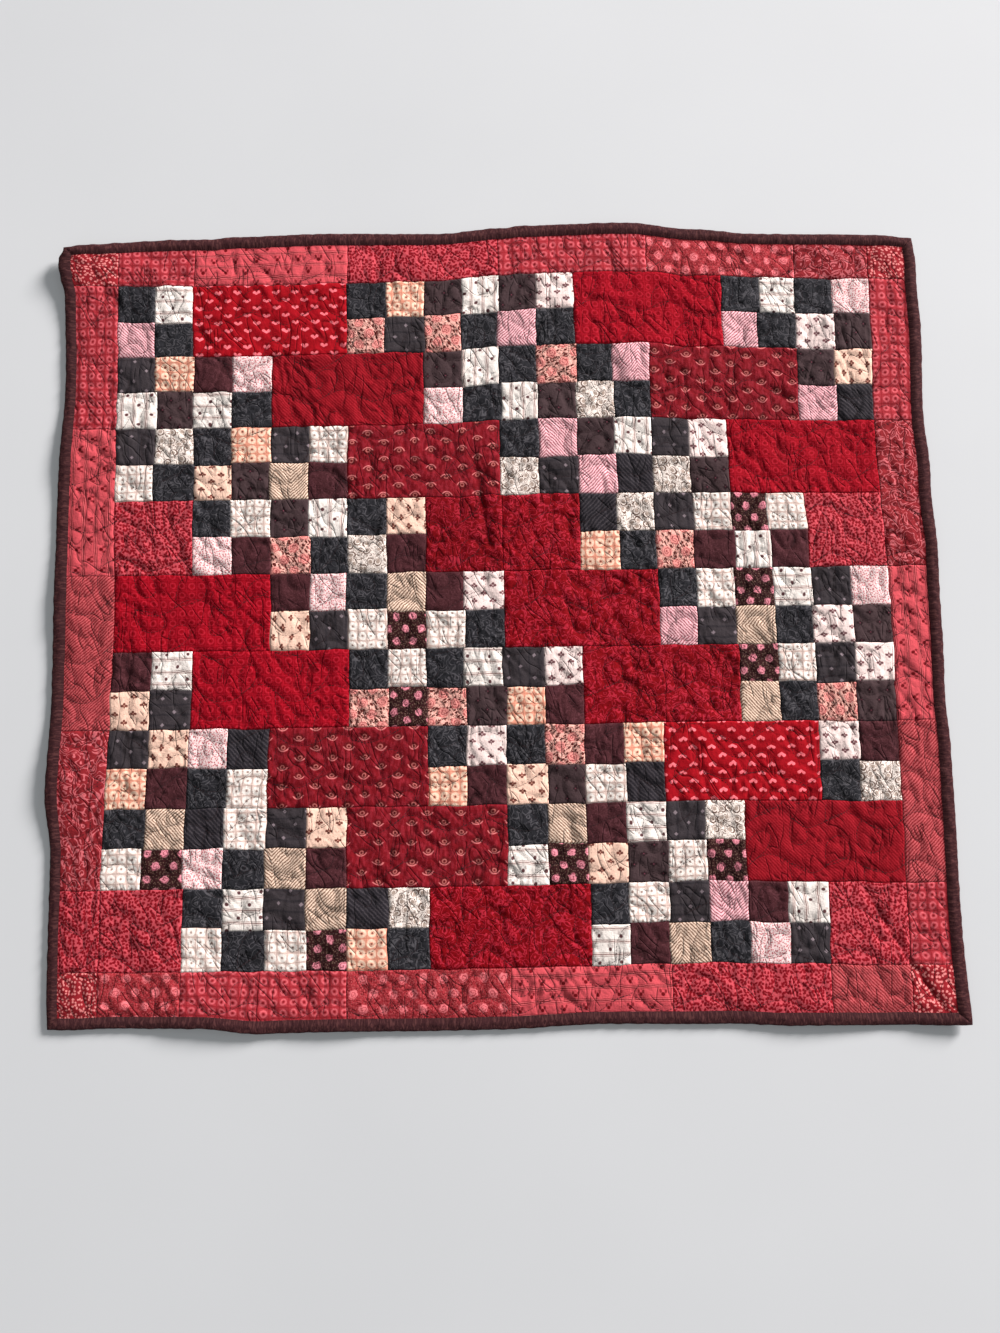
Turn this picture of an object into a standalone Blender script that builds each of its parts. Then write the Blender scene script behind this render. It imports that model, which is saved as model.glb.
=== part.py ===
# A pieced quilt lying face up: small squares and plain rectangles inside a narrow
# border, bound all round. Metres, +Z up, origin under the middle of the cloth.

import bmesh
import bpy
from math import cos, exp, pi, sin
from mathutils import Vector

MM = 0.001

# Driving sizes. One small square is the unit that the whole top is cut from.
SQUARE = 38.1 * MM
FIELD_COLUMNS = 20
FIELD_ROWS = 18
RIM_BEYOND_FIELD = {"left": 1.47, "right": 1.30, "top": 1.32, "bottom": 1.43}
BINDING_WIDTH = 0.30
SEWN_GAP = 0.0082

# Loft of the three layers, and how far the seams and quilting pull it down.
LOFT = 5.2 * MM
SEAM_DROP = 1.5 * MM
PUCKER = 0.75 * MM
BINDING_LOFT = 5.6 * MM
BINDING_EDGE = 3.4 * MM

# Cells of the mesh: the face is three cells to a square, the flat back one.
FACE_CELLS = 3
BINDING_CELLS = 3

# How far each side wanders out from a straight line, in millimetres.
# station: squares along the side; field: edge of the patchwork; rim: outer edge.
DRIFT_COLUMNS = ("station", "field", "rim")
DRIFT = {
    "top": (
        (-1.4, -4.5, -13.4),
        (-1.0, -4.5, -12.0),
        (-0.5, -4.5, -11.4),
        (0.0, -4.5, -8.8),
        (0.8, -4.5, -5.6),
        (1.4, -4.5, -4.4),
        (2.3, -4.5, -4.4),
        (3.1, -4.3, -1.8),
        (5.4, -3.0, 1.0),
        (8.4, -1.0, 0.0),
        (10.1, 5.0, 5.8),
        (10.7, 6.0, 8.4),
        (11.8, 7.5, 9.2),
        (13.6, 8.0, 9.8),
        (15.3, 3.0, 3.2),
        (17.0, 0.5, -2.5),
        (18.8, -2.0, -3.5),
        (21.2, -3.0, -5.5),
    ),
    "bottom": (
        (-1.2, -2.5, -5.2),
        (0.2, -2.2, -6.6),
        (1.7, -2.0, -5.6),
        (2.5, -1.6, -5.2),
        (3.9, -0.9, 1.0),
        (5.5, 0.0, 0.4),
        (7.9, 0.5, 1.6),
        (9.8, 0.3, 1.6),
        (12.1, 0.0, -1.4),
        (15.2, -1.0, 0.6),
        (17.2, 1.6, 3.6),
        (19.9, 5.0, 5.0),
        (21.2, 5.0, 7.0),
    ),
    "left": (
        (-1.2, 4.3, 4.6),
        (-0.9, 4.3, 8.2),
        (-0.6, 4.3, 7.6),
        (-0.3, 4.3, 5.4),
        (0.3, 4.3, 1.0),
        (2.7, 2.5, -2.0),
        (6.2, 1.8, 2.0),
        (9.5, -1.3, 1.0),
        (11.4, 0.4, 0.6),
        (12.5, 1.1, 1.2),
        (13.6, 2.7, 2.5),
        (15.2, 4.4, -3.8),
        (17.1, 4.5, -4.2),
        (19.3, 4.5, -5.0),
    ),
    "right": (
        (-1.0, 0.0, 1.2),
        (0.2, -0.5, 0.2),
        (1.3, -1.0, 1.4),
        (3.9, -3.5, -2.4),
        (5.3, -3.1, 0.6),
        (6.1, -2.2, -0.2),
        (7.5, 0.1, 1.4),
        (9.9, 1.0, 1.0),
        (11.6, 0.1, -0.9),
        (12.5, -0.1, 1.0),
        (14.0, -0.7, 0.8),
        (16.7, -2.0, -0.6),
        (18.5, -3.0, 0.3),
        (19.4, -3.0, 2.2),
    ),
}

# How far each bound corner is drawn in along its diagonal, in millimetres, and how
# near the corner that starts, in squares.
TUCK_COLUMNS = ("across", "down", "draw")
TUCKS = (
    (-RIM_BEYOND_FIELD["left"], -RIM_BEYOND_FIELD["top"], 3.0),
    (FIELD_COLUMNS + RIM_BEYOND_FIELD["right"], -RIM_BEYOND_FIELD["top"], 4.0),
    (FIELD_COLUMNS + RIM_BEYOND_FIELD["right"], FIELD_ROWS + RIM_BEYOND_FIELD["bottom"], 1.5),
    (-RIM_BEYOND_FIELD["left"], FIELD_ROWS + RIM_BEYOND_FIELD["bottom"], 2.0),
)
TUCK_REACH = 0.9

# Places at the rim where the cloth lifts off what it lies on.
LIFT_COLUMNS = ("across", "down", "reach", "height")
LIFTS = (
    (-1.5, -1.3, 2.6, 8.0),
    (-1.5, 4.6, 1.5, 3.0),
    (-1.5, 8.6, 1.6, 2.5),
    (-1.4, 13.1, 1.9, 4.5),
    (2.8, 19.4, 2.0, 4.5),
    (5.6, 19.4, 1.6, 2.5),
    (17.6, 19.4, 2.2, 3.0),
    (21.3, 19.4, 1.9, 4.5),
    (21.3, 7.4, 1.5, 2.5),
    (13.0, -1.4, 1.8, 2.5),
)

# The main creases: soft troughs, or ridges where the depth is negative.
CREASE_COLUMNS = ("across0", "down0", "across1", "down1", "depth", "half_width")
CREASES = (
    (19.6, 16.6, 21.1, 19.1, 2.6, 9.0),
    (19.9, 16.1, 21.0, 17.8, -1.2, 9.0),
    (18.9, 17.2, 20.4, 19.0, -1.2, 9.0),
    (9.2, 4.2, 9.7, 7.8, 1.6, 8.0),
    (10.2, 4.4, 10.0, 7.2, 1.4, 8.0),
    (9.7, 4.6, 9.9, 7.4, -1.0, 8.0),
    (-1.1, -0.6, 1.4, 1.8, 1.5, 10.0),
    (0.4, -1.0, 2.2, 1.0, -1.2, 10.0),
    (3.1, 0.8, 5.0, 3.6, 1.2, 9.0),
    (6.6, 2.4, 7.8, 5.2, 1.1, 9.0),
    (12.4, 1.2, 13.9, 4.4, 1.3, 9.0),
    (14.6, 0.4, 15.4, 3.0, 1.1, 9.0),
    (17.2, 2.6, 18.6, 5.4, 1.1, 9.0),
    (1.2, 6.2, 2.6, 9.4, 1.2, 9.0),
    (4.4, 8.2, 5.6, 11.0, 1.3, 9.0),
    (7.6, 9.6, 8.8, 12.6, 1.2, 9.0),
    (12.2, 7.6, 13.4, 10.4, 1.1, 9.0),
    (15.8, 8.4, 17.4, 11.6, 1.3, 9.0),
    (2.4, 12.8, 4.2, 15.8, 1.3, 9.0),
    (6.0, 14.2, 7.4, 17.2, 1.2, 9.0),
    (10.8, 12.4, 12.0, 15.8, 1.3, 9.0),
    (14.2, 13.6, 15.6, 16.8, 1.2, 9.0),
    (17.8, 12.8, 19.4, 15.4, 1.2, 9.0),
    (0.2, 16.6, 1.8, 18.8, 1.2, 9.0),
)

# Where each row of blocks has its groups of small squares, as first and last column.
# Between the groups lie plain rectangles four squares wide.
SMALL_SQUARES = (
    ((0, 2), (6, 12), (16, 20)),
    ((0, 4), (8, 14), (18, 20)),
    ((0, 6), (10, 16)),
    ((2, 8), (12, 18)),
    ((4, 10), (14, 20)),
    ((0, 2), (6, 12), (16, 20)),
    ((0, 4), (8, 14), (18, 20)),
    ((0, 6), (10, 16)),
    ((2, 8), (12, 18)),
)
BLOCK_ROWS = 2

COLOURS = {
    "quilt_body": (0.26, 0.035, 0.045, 1.0),
    "binding": (0.045, 0.016, 0.018, 1.0),
}


def smooth(t):
    t = min(max(t, 0.0), 1.0)
    return t * t * (3.0 - 2.0 * t)


def along(side, station, column):
    rows = DRIFT[side]
    which = DRIFT_COLUMNS.index(column)
    if station <= rows[0][0]:
        return rows[0][which] * MM
    for low, high in zip(rows, rows[1:]):
        if station <= high[0]:
            share = smooth((station - low[0]) / (high[0] - low[0]))
            return (low[which] + (high[which] - low[which]) * share) * MM
    return rows[-1][which] * MM


def wander(side, station, inward, depth):
    # inward: squares in from the edge of the field, negative out in the border.
    field = along(side, station, "field")
    if inward < 0.0:
        share = -inward / RIM_BEYOND_FIELD[side]
        return field + (along(side, station, "rim") - field) * share
    return field * smooth(1.0 - inward / depth)


def lie(across, down):
    # Squares across and down from the field's top left corner to metres on the floor.
    depth = FIELD_ROWS / 2
    left = wander("left", down, across, depth)
    right = wander("right", down, FIELD_COLUMNS - across, depth)
    top = wander("top", across, down, depth)
    bottom = wander("bottom", across, FIELD_ROWS - down, depth)
    x = (across - FIELD_COLUMNS / 2) * SQUARE + right - left
    y = (FIELD_ROWS / 2 - down) * SQUARE + top - bottom
    for corner_across, corner_down, draw in TUCKS:
        away = ((across - corner_across) ** 2 + (down - corner_down) ** 2) ** 0.5
        pull = draw * MM * smooth(1.0 - away / TUCK_REACH) / 2 ** 0.5
        x += pull if corner_across < 0 else -pull
        y += pull if corner_down > 0 else -pull
    return x, y


def lift(across, down):
    # Height of the underside: nothing but at the few places where the rim rises.
    height = 0.0
    for across0, down0, reach, rise in LIFTS:
        away = ((across - across0) ** 2 + (down - down0) ** 2) ** 0.5
        height += rise * MM * smooth(1.0 - away / reach)
    return height


def is_seam(across, down):
    # The seams run between small squares, around each rectangle and along the border.
    on_column = abs(across - round(across)) < 0.01
    on_row = abs(down - round(down)) < 0.01
    if not (0 <= across <= FIELD_COLUMNS and 0 <= down <= FIELD_ROWS):
        return False
    if on_row and round(down) % BLOCK_ROWS == 0:
        return True
    if on_column and round(across) in (0, FIELD_COLUMNS):
        return True
    block = min(int(down // BLOCK_ROWS), len(SMALL_SQUARES) - 1)
    for first, last in SMALL_SQUARES[block]:
        if first <= across <= last and (on_row or on_column):
            return True
    return False


def crease(across, down):
    drop = 0.0
    for across0, down0, across1, down1, depth, half_width in CREASES:
        start = Vector((across0, down0))
        run = Vector((across1, down1)) - start
        here = Vector((across, down)) - start
        share = min(max(here.dot(run) / run.length_squared, 0.0), 1.0)
        away = (here - run * share).length * SQUARE / (half_width * MM)
        drop += depth * MM * exp(-away * away) * sin(pi * min(max(share, 0.08), 0.92))
    return drop


def pucker(across, down):
    # Washed cotton shrinks in soft ripples that run mostly down to the right.
    slanted = sin(2.1 * across - 1.5 * down + 0.9 * sin(0.8 * down))
    upright = sin(3.3 * across + 0.7 * sin(0.9 * down + 1.1))
    return PUCKER * (0.6 * slanted + 0.4 * upright * cos(0.6 * down - 0.3 * across))


def face_height(across, down):
    height = LOFT + pucker(across, down) - crease(across, down)
    if is_seam(across, down):
        height -= SEAM_DROP
    return lift(across, down) + max(height, 2.0 * MM)


def split(knots, cells):
    lines = []
    for low, high in zip(knots, knots[1:]):
        lines += [low + (high - low) * k / cells for k in range(cells)]
    return lines + [knots[-1]]


def at(lines, share):
    place = share * (len(lines) - 1)
    low = min(int(place + 1e-6), len(lines) - 2)
    return lines[low] + (lines[low + 1] - lines[low]) * (place - low)


def add_sheet(bm, columns, rows, rim_cells, place, height):
    # A grid laid on the floor plan; its rim is cut to match a finer sheet's.
    first = len(bm.verts)
    made = bmesh.ops.create_grid(bm, x_segments=columns, y_segments=rows, size=0.5)
    edges = {edge for vert in made["verts"] for edge in vert.link_edges}
    rim = [edge for edge in edges if edge.is_boundary]
    level = [edge for edge in rim if abs(edge.verts[0].co.y - edge.verts[1].co.y) < 1e-6]
    upright = [edge for edge in rim if edge not in level]
    for part, count in ((level, rim_cells[0]), (upright, rim_cells[1])):
        if count > 1:
            bmesh.ops.subdivide_edges(bm, edges=part, cuts=count - 1)
    bm.verts.ensure_lookup_table()
    for vert in bm.verts[first:]:
        across, down = place(vert.co.x + 0.5, 0.5 - vert.co.y)
        x, y = lie(across, down)
        vert.co = (x, y, height(across, down))


def add_cloth(name, colour, columns, rows, cells, place, top, under):
    # Two grids, the fine face and the plain back, joined by a wall round the rim.
    bm = bmesh.new()
    add_sheet(bm, columns, rows, cells, place, under)
    bmesh.ops.reverse_faces(bm, faces=bm.faces)
    add_sheet(bm, columns * cells[0], rows * cells[1], (1, 1), place, top)
    rims = [edge for edge in bm.edges if edge.is_boundary]
    bmesh.ops.bridge_loops(bm, edges=rims)
    bmesh.ops.recalc_face_normals(bm, faces=bm.faces)
    mesh = bpy.data.meshes.new(name)
    bm.to_mesh(mesh)
    bm.free()
    mesh.shade_smooth()
    mesh.set_sharp_from_angle(angle=0.7)
    mesh.materials.append(colour)
    piece = bpy.data.objects.new(name, mesh)
    collection.objects.link(piece)
    return piece


def cotton(name, colour):
    made = bpy.data.materials.new(name)
    made.use_nodes = True
    shader = made.node_tree.nodes["Principled BSDF"]
    shader.inputs["Base Color"].default_value = colour
    shader.inputs["Roughness"].default_value = 0.9
    shader.inputs["Metallic"].default_value = 0.0
    return made


for old in list(bpy.data.objects):
    bpy.data.objects.remove(old, do_unlink=True)
collection = bpy.data.collections.new("quilt")
bpy.context.scene.collection.children.link(collection)

rim_left = -RIM_BEYOND_FIELD["left"]
rim_right = FIELD_COLUMNS + RIM_BEYOND_FIELD["right"]
rim_top = -RIM_BEYOND_FIELD["top"]
rim_bottom = FIELD_ROWS + RIM_BEYOND_FIELD["bottom"]

# The quilted body reaches to the binding's inner edge.
body_columns = split(
    [rim_left + BINDING_WIDTH + SEWN_GAP]
    + list(range(FIELD_COLUMNS + 1))
    + [rim_right - BINDING_WIDTH - SEWN_GAP],
    FACE_CELLS,
)
body_rows = split(
    [rim_top + BINDING_WIDTH + SEWN_GAP]
    + list(range(FIELD_ROWS + 1))
    + [rim_bottom - BINDING_WIDTH - SEWN_GAP],
    FACE_CELLS,
)


def body_place(right, below):
    return at(body_columns, right), at(body_rows, below)


body = add_cloth(
    "quilt_body",
    cotton("pieced_cotton", COLOURS["quilt_body"]),
    FIELD_COLUMNS + 2,
    FIELD_ROWS + 2,
    (FACE_CELLS, FACE_CELLS),
    body_place,
    face_height,
    lift,
)

# Four strips of binding, mitred where they meet. Each is laid out from its outer
# edge (inward 0) to its sewn edge (inward 1), and shortens by the mitre as it goes in.
SIDES = {
    "top": (rim_left, rim_right, rim_top, 1, "across", FIELD_COLUMNS + 2),
    "bottom": (rim_left, rim_right, rim_bottom, -1, "across", FIELD_COLUMNS + 2),
    "left": (rim_top, rim_bottom, rim_left, 1, "down", FIELD_ROWS + 2),
    "right": (rim_top, rim_bottom, rim_right, -1, "down", FIELD_ROWS + 2),
}


def binding_height(side):
    edge, sense, axis = SIDES[side][2:5]

    def height(across, down):
        inward = ((down if axis == "across" else across) - edge) * sense / BINDING_WIDTH
        roll = smooth(inward / 0.55)
        full = BINDING_EDGE + (BINDING_LOFT - BINDING_EDGE) * roll
        sewn = 1.1 * MM * smooth((inward - 0.6) / 0.4)
        cockle = 0.35 * MM * sin(2.7 * across + 3.1 * down)
        return lift(across, down) + full - sewn + cockle * roll

    return height


def binding_place(side):
    start, end, edge, sense, axis, count = SIDES[side]

    def place(right, below):
        forward, share = (right, below) if axis == "across" else (below, right)
        inward = (share if sense > 0 else 1.0 - share) * BINDING_WIDTH
        mitre = inward + SEWN_GAP
        run = at([start + mitre] + list(range(count - 1)) + [end - mitre], forward)
        step = edge + inward * sense
        return (run, step) if axis == "across" else (step, run)

    return place


binding_colour = cotton("binding_cotton", COLOURS["binding"])
for side, (_, _, _, _, axis, count) in SIDES.items():
    columns, rows = (count, 1) if axis == "across" else (1, count)
    cells = (FACE_CELLS, BINDING_CELLS) if axis == "across" else (BINDING_CELLS, FACE_CELLS)
    add_cloth(
        "binding_" + side,
        binding_colour,
        columns,
        rows,
        cells,
        binding_place(side),
        binding_height(side),
        lift,
    )

# The origin goes under the middle of the whole cloth.
pieces = list(collection.objects)
corners = [vert.co for piece in pieces for vert in piece.data.vertices]
middle = Vector((
    (min(co.x for co in corners) + max(co.x for co in corners)) / 2,
    (min(co.y for co in corners) + max(co.y for co in corners)) / 2,
    0.0,
))
for piece in pieces:
    for vert in piece.data.vertices:
        vert.co -= middle
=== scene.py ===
import bpy
import bmesh
import numpy as np
from math import pi, radians
from mathutils import Matrix, Vector, kdtree


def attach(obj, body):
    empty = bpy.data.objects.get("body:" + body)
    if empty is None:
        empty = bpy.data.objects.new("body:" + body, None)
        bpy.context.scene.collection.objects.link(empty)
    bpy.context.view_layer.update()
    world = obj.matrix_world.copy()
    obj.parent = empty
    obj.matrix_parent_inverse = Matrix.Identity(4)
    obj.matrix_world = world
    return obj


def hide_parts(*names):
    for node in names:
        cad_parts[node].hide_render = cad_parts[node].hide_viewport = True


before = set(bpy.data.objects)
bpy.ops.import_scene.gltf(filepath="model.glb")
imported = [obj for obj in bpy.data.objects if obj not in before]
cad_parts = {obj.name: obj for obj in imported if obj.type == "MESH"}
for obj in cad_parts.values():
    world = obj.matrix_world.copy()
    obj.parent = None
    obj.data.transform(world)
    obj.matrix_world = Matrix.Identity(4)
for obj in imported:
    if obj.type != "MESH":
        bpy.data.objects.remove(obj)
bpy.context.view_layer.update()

# The plan of the quilt in squares: across and down from the patchwork's top left corner.
plan = {
    "square": 38.1,  # mm, one small square as sewn
    "columns": 20,
    "rows": 18,
    "beyond": {"left": 1.47, "right": 1.30, "top": 1.32, "bottom": 1.43},
    "bindingWidth": 0.30,
    "cells": 22,  # mesh cells to a square
    "seamSlip": 0.022,  # how badly neighbouring seams meet, in squares
}

square, bound = plan["square"], plan["bindingWidth"]
columns, rows = plan["columns"], plan["rows"]

# How far each side wanders out of line, in mm: squares along, edge of patchwork, outer edge.
drift = {
    "top": (
        (-1.4, -4.5, -13.4), (-1.0, -4.5, -12.0), (-0.5, -4.5, -11.4), (0.0, -4.5, -8.8),
        (0.8, -4.5, -5.6), (1.4, -4.5, -4.4), (2.3, -4.5, -4.4), (3.1, -4.3, -1.8), (5.4, -3.0, 1.0),
        (8.4, -1.0, 0.0), (10.1, 5.0, 5.8), (10.7, 6.0, 8.4), (11.8, 7.5, 9.2), (13.6, 8.0, 9.8),
        (15.3, 3.0, 3.2), (17.0, 0.5, -2.5), (18.8, -2.0, -3.5), (21.2, -3.0, -5.5),
    ),
    "bottom": (
        (-1.2, -2.5, -5.2), (0.2, -2.2, -6.6), (1.7, -2.0, -5.6), (2.5, -1.6, -5.2),
        (3.9, -0.9, 1.0), (5.5, 0.0, 0.4), (7.9, 0.5, 1.6), (9.8, 0.3, 1.6), (12.1, 0.0, -1.4),
        (15.2, -1.0, 0.6), (17.2, 1.6, 3.6), (19.9, 5.0, 5.0), (21.2, 5.0, 7.0),
    ),
    "left": (
        (-1.2, 4.3, 4.6), (-0.9, 4.3, 8.2), (-0.6, 4.3, 7.6), (-0.3, 4.3, 5.4), (0.3, 4.3, 1.0),
        (2.7, 2.5, -2.0), (6.2, 1.8, 2.0), (9.5, -1.3, 1.0), (11.4, 0.4, 0.6), (12.5, 1.1, 1.2),
        (13.6, 2.7, 2.5), (15.2, 4.4, -3.8), (17.1, 4.5, -4.2), (19.3, 4.5, -5.0),
    ),
    "right": (
        (-1.0, 0.0, 1.2), (0.2, -0.5, 0.2), (1.3, -1.0, 1.4), (3.9, -3.5, -2.4), (5.3, -3.1, 0.6),
        (6.1, -2.2, -0.2), (7.5, 0.1, 1.4), (9.9, 1.0, 1.0), (11.6, 0.1, -0.9), (12.5, -0.1, 1.0),
        (14.0, -0.7, 0.8), (16.7, -2.0, -0.6), (18.5, -3.0, 0.3), (19.4, -3.0, 2.2),
    ),
}

# Corners drawn in along their diagonals: across, down, mm.
tucks = ((-1.47, -1.32, 3.0), (21.30, -1.32, 4.0), (21.30, 19.43, 1.5), (-1.47, 19.43, 2.0))
tuckReach = 0.9

# Where the rim rises off the floor: across, down, reach in squares, mm.
lifts = (
    (-1.5, -1.3, 2.6, 8.0), (-1.5, 4.6, 1.5, 3.0), (-1.5, 8.6, 1.6, 2.5),
    (-1.4, 13.1, 1.9, 4.5), (2.8, 19.4, 2.0, 4.5), (5.6, 19.4, 1.6, 2.5),
    (17.6, 19.4, 2.2, 3.0), (21.3, 19.4, 1.9, 4.5), (21.3, 7.4, 1.5, 2.5),
    (13.0, -1.4, 1.8, 2.5),
)

# Main creases, negative for a ridge: from, to, depth and half width in mm.
creases = (
    (18.6, 15.6, 20.1, 18.1, 2.2, 2.4), (19.6, 17.3, 21.9, 20.9, 3.0, 2.0),
    (20.5, 17.5, 21.7, 19.6, -1.4, 5.5), (18.9, 17.2, 20.4, 19.0, -1.2, 9.0),
    (9.2, 4.2, 9.7, 7.8, 2.2, 3.2), (10.2, 4.4, 10.0, 7.2, 1.9, 3.2),
    (9.7, 4.6, 9.9, 7.4, -1.0, 6.0), (-1.1, -0.6, 1.4, 1.8, 1.5, 6.0),
    (0.4, -1.0, 2.2, 1.0, -1.2, 8.0),
    (3.1, 0.8, 5.0, 3.6, 1.2, 5.0), (6.6, 2.4, 7.8, 5.2, 1.1, 5.0),
    (12.4, 1.2, 13.9, 4.4, 1.3, 5.0), (14.6, 0.4, 15.4, 3.0, 1.1, 5.0),
    (17.2, 2.6, 18.6, 5.4, 1.1, 5.0), (1.2, 6.2, 2.6, 9.4, 1.2, 5.0),
    (4.4, 8.2, 5.6, 11.0, 1.3, 5.0), (7.6, 9.6, 8.8, 12.6, 1.2, 5.0),
    (12.2, 7.6, 13.4, 10.4, 1.1, 5.0), (15.8, 8.4, 17.4, 11.6, 1.3, 5.0),
    (2.4, 12.8, 4.2, 15.8, 1.3, 5.0), (6.0, 14.2, 7.4, 17.2, 1.2, 5.0),
    (10.8, 12.4, 12.0, 15.8, 1.3, 5.0), (14.2, 13.6, 15.6, 16.8, 1.2, 5.0),
    (17.8, 12.8, 19.4, 15.4, 1.2, 5.0), (0.2, 16.6, 1.8, 18.8, 1.2, 5.0),
)

# One letter is one small square of a cotton; a longer name fills a rectangle.
blockRows = (
    ((0, "KW", "HK"), (2, "hearts"), (6, "KPNVNL", "CDCKHK"), (12, "foulard"), (16, "KWKS", "HKLN")),
    ((0, "DPBS", "VNWK"), (4, "twill"), (8, "NVKCKH", "SKVNGK"), (14, "shells"), (18, "NF", "HT")),
    ((0, "DGKPDO", "OKFNYB"), (6, "shells"), (10, "KHNVDL", "GDHTGN"), (16, "foulard")),
    ((0, "speckle"), (2, "KONVKF", "SBCKGB"), (8, "vine"), (10, "vine"), (12, "TGDORO", "PKCBVB"),
     (18, "speckle")),
    ((0, "foulard"), (4, "BSKYBL", "FDOROK"), (10, "vine"), (14, "KORWDS", "HDYKLN")),
    ((0, "BW", "FD"), (2, "foulard"), (6, "KOKWDL", "CRCNPB"), (12, "vine"), (16, "RODL", "YKCN")),
    ((0, "DFST", "PBKO"), (4, "shells"), (8, "KLKCBP", "PBFNOT"), (14, "hearts"), (18, "LB", "KG")),
    ((0, "KYTODF", "ORSKYB"), (6, "shells"), (10, "KYBWDG", "WRFNOR"), (16, "twill")),
    ((0, "speckle"), (2, "KWDYTG", "OKORPK"), (8, "vine"), (12, "KODHBE", "WBYKSD"), (18, "speckle")),
)
cottonNames = {
    "K": "blackVine", "T": "blackTwill", "D": "charcoalSprig", "N": "brownSprig", "B": "burgundy",
    "R": "rosebud", "W": "sprigStripe", "V": "sprigStripe", "E": "sprigStripe", "O": "creamRings",
    "P": "peachRings", "S": "pinkSpeckle", "H": "pinkTwill", "G": "greyPaisley", "F": "peachSprig",
    "L": "lilacSprig", "C": "coralScroll", "Y": "tanTwill",
}
borderRuns = {
    "top": (("coralRings", 0, 2), ("coralStripe", 2, 6), ("speckle", 6, 10), ("coralRings", 10, 14),
            ("coralRoses", 14, 18), ("coralVine", 18, 20)),
    "right": (("coralRings", 0, 4), ("coralVine", 4, 8), ("coralStripe", 8, 12), ("coralTwill", 12, 16),
              ("coralRings", 16, 18)),
    "bottom": (("coralRoses", 0, 2), ("coralRings", 2, 6), ("coralRoses", 6, 10), ("coralStripe", 10, 14),
               ("speckle", 14, 18), ("coralTwill", 18, 20)),
    "left": (("coralRings", 0, 4), ("coralStripe", 4, 8), ("coralTwill", 8, 12), ("coralVine", 12, 16),
             ("speckle", 16, 18)),
}


def smooth(t):
    t = np.clip(t, 0.0, 1.0)
    return t * t * (3.0 - 2.0 * t)


def along(side, station, column):
    table = np.array(drift[side])
    place = np.clip(station, table[0, 0], table[-1, 0])
    low = np.clip(np.searchsorted(table[:, 0], place, side="right") - 1, 0, len(table) - 2)
    share = smooth((place - table[low, 0]) / (table[low + 1, 0] - table[low, 0]))
    return table[low, column] + (table[low + 1, column] - table[low, column]) * share


def wander(side, station, inward):
    field = along(side, station, 1)
    rim = along(side, station, 2)
    border = field + (rim - field) * -inward / plan["beyond"][side]
    return np.where(inward < 0.0, border, field * smooth(1.0 - inward / (rows / 2)))


def waver(x, y, seed):
    # smooth hills and hollows about one unit apart, from about -1 to 1
    column, row = np.floor(x), np.floor(y)
    partX, partY = x - column, y - row

    def corner(right, up):
        turn = 43758.5453 * np.sin((column + right) * 127.1 + (row + up) * 311.7 + seed * 74.7)
        turn = 2.0 * pi * (turn - np.floor(turn))
        return np.cos(turn) * (partX - right) + np.sin(turn) * (partY - up)

    easeX = partX ** 3 * (partX * (partX * 6 - 15) + 10)
    easeY = partY ** 3 * (partY * (partY * 6 - 15) + 10)
    near = corner(0, 0) * (1 - easeX) + corner(1, 0) * easeX
    far = corner(0, 1) * (1 - easeX) + corner(1, 1) * easeX
    return 1.6 * (near * (1 - easeY) + far * easeY)


def layOut(across, down):
    # squares to millimetres on the floor, before the whole is centred
    left = wander("left", down, across)
    right = wander("right", down, columns - across)
    top = wander("top", across, down)
    bottom = wander("bottom", across, rows - down)
    x = (across - columns / 2) * square + right - left
    y = (rows / 2 - down) * square + top - bottom
    for cornerAcross, cornerDown, draw in tucks:
        away = np.hypot(across - cornerAcross, down - cornerDown)
        pull = draw * smooth(1.0 - away / tuckReach) / 2 ** 0.5
        x = x + (pull if cornerAcross < 0 else -pull)
        y = y + (pull if cornerDown > 0 else -pull)
    return x, y


rimLeft, rimRight = -plan["beyond"]["left"], columns + plan["beyond"]["right"]
rimTop, rimBottom = -plan["beyond"]["top"], rows + plan["beyond"]["bottom"]
steps = np.linspace(0.0, 1.0, 801)
alongTop = rimLeft + (rimRight - rimLeft) * steps
alongSide = rimTop + (rimBottom - rimTop) * steps
rimX, rimY = layOut(
    np.concatenate([alongTop, alongTop, 0 * steps + rimLeft, 0 * steps + rimRight]),
    np.concatenate([0 * steps + rimTop, 0 * steps + rimBottom, alongSide, alongSide]),
)
centre = ((rimX.min() + rimX.max()) / 2, (rimY.min() + rimY.max()) / 2)


def fromRim(across, down):
    # in squares, from the nearest outer edge
    return np.minimum(np.minimum(across - rimLeft, rimRight - across),
                      np.minimum(down - rimTop, rimBottom - down))


def lie(across, down):
    # with the small in-plane waviness that washing leaves, which dies out at the rim
    inside = smooth(fromRim(across, down) / 0.8)
    x, y = layOut(across, down)

    def shrunk(seed):
        return 0.9 * waver(across * 1.3, down * 1.3, seed) + 0.5 * waver(across * 3.1, down * 3.1, seed + 2)

    return x + inside * shrunk(3) - centre[0], y + inside * shrunk(4) - centre[1]


def lift(across, down):
    height = np.zeros_like(across)
    for acrossAt, downAt, reach, rise in lifts:
        height = height + rise * smooth(1.0 - np.hypot(across - acrossAt, down - downAt) / reach)
    return height


# The quilting: rows of a waved line that throws a teardrop up and then down.
quilting = {
    "rowPitch": 43.0,
    "wave": 70.0,
    "swing": 7.0,
    "leafLength": (27.0, 37.0),
    "leafWidth": (10.0, 14.0),
    "lean": (42.0, 78.0),  # degrees from the row's line
    "wander": 6.0,
    "spacing": 1.0,
}


def walk(path, stations, wanted):
    # the points of a path at the wanted places along it
    return np.stack([np.interp(wanted, stations, path[:, k]) for k in (0, 1)], axis=1)


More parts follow.
